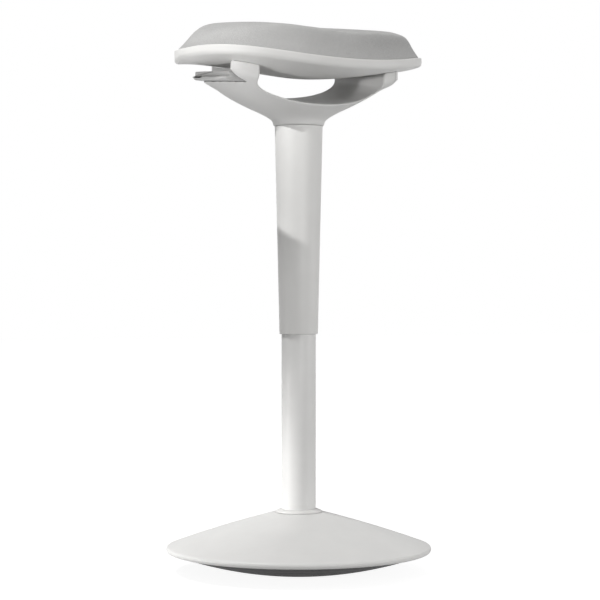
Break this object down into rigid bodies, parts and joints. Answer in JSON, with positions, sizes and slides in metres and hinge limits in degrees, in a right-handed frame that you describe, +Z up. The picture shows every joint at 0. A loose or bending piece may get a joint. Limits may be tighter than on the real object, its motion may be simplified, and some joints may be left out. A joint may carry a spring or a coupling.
{
  "type": "perch stool",
  "caption": "Tall perch stool with a rounded weighted foot, a gas-sprung swivel column in a tapered sleeve, an open yoke with a hand lever and a saddle-shaped upholstered seat.",
  "frame": {"origin": "middle of the rubber sole's flat foot, on the floor", "axes": "+Z up along the column, the seat's front towards -Y, the hand lever on the -X side"},
  "size_m": [0.387, 0.387, 0.8037],
  "materials": {
    "cover_plastic": "fine satin, warm white",
    "tube_paint": "satin powder coat",
    "yoke_plastic": "fine satin, pale grey",
    "lever_plastic": "satin, mid grey",
    "seat_fabric": "woven upholstery, mid grey",
    "sole_rubber": "matt black",
    "ballast_iron": "dark paint",
    "bright_steel": "ground",
    "black_plastic": "satin",
    "pan_wood": "raw plywood"
  },
  "bodies": {
    "base": {"rubber_sole": "sole_rubber", "ballast_plate": "ballast_iron", "tube_socket": "ballast_iron", "socket_screw_1": "bright_steel", "socket_screw_2": "bright_steel", "socket_screw_3": "bright_steel", "socket_screw_4": "bright_steel", "base_cover": "cover_plastic", "base_collar": "cover_plastic", "lower_tube": "tube_paint", "guide_bush": "black_plastic"},
    "column_rod": {"piston_rod": "bright_steel", "piston": "black_plastic", "retaining_clip": "bright_steel", "thrust_washer": "bright_steel", "rod_buffer": "sole_rubber"},
    "seat": {"gas_cylinder": "bright_steel", "cylinder_end_guide": "black_plastic", "upper_sleeve": "cover_plastic", "yoke": "yoke_plastic", "arm_end_cap": "yoke_plastic", "rocker_pin": "bright_steel", "release_cable": "black_plastic", "lever_pin": "bright_steel", "seat_shell": "cover_plastic", "seat_pan": "pan_wood", "seat_screw_1": "bright_steel", "seat_screw_2": "bright_steel", "seat_screw_3": "bright_steel", "seat_screw_4": "bright_steel", "cushion": "seat_fabric"},
    "lever": {"hand_lever": "lever_plastic"},
    "rocker": {"release_rocker": "bright_steel"},
    "valve": {"valve_pin": "bright_steel"}
  },
  "joints": [
    {"name": "swivel", "type": "hinge", "parent": "base", "child": "column_rod", "pos_m": [0, 0, 0.05], "axis": [0, 0, 1], "continuous": true},
    {"name": "height", "type": "slide", "parent": "column_rod", "child": "seat", "axis": [0, 0, 1], "range_m": [-0.2, 0]},
    {"name": "lever_lift", "type": "hinge", "parent": "seat", "child": "lever", "pos_m": [-0.1125, 0, 0.7154], "axis": [0, 0.9962, 0.0872], "range_deg": [0, 6], "stiffness_Nm_per_rad": 2, "springref_deg": -5.73},
    {"name": "rocker_turn", "type": "hinge", "parent": "seat", "child": "rocker", "pos_m": [-0.009, 0, 0.66425], "axis": [0, 1, 0], "range_deg": [0, 8]},
    {"name": "valve_press", "type": "slide", "parent": "seat", "child": "valve", "axis": [0, 0, 1], "range_m": [-0.0022, 0]}
  ],
  "couplings": [
    {"joint": "rocker_turn", "follows": "lever_lift", "ratio": 1.3},
    {"joint": "valve_press", "follows": "lever_lift", "m_per_rad": -0.02}
  ]
}
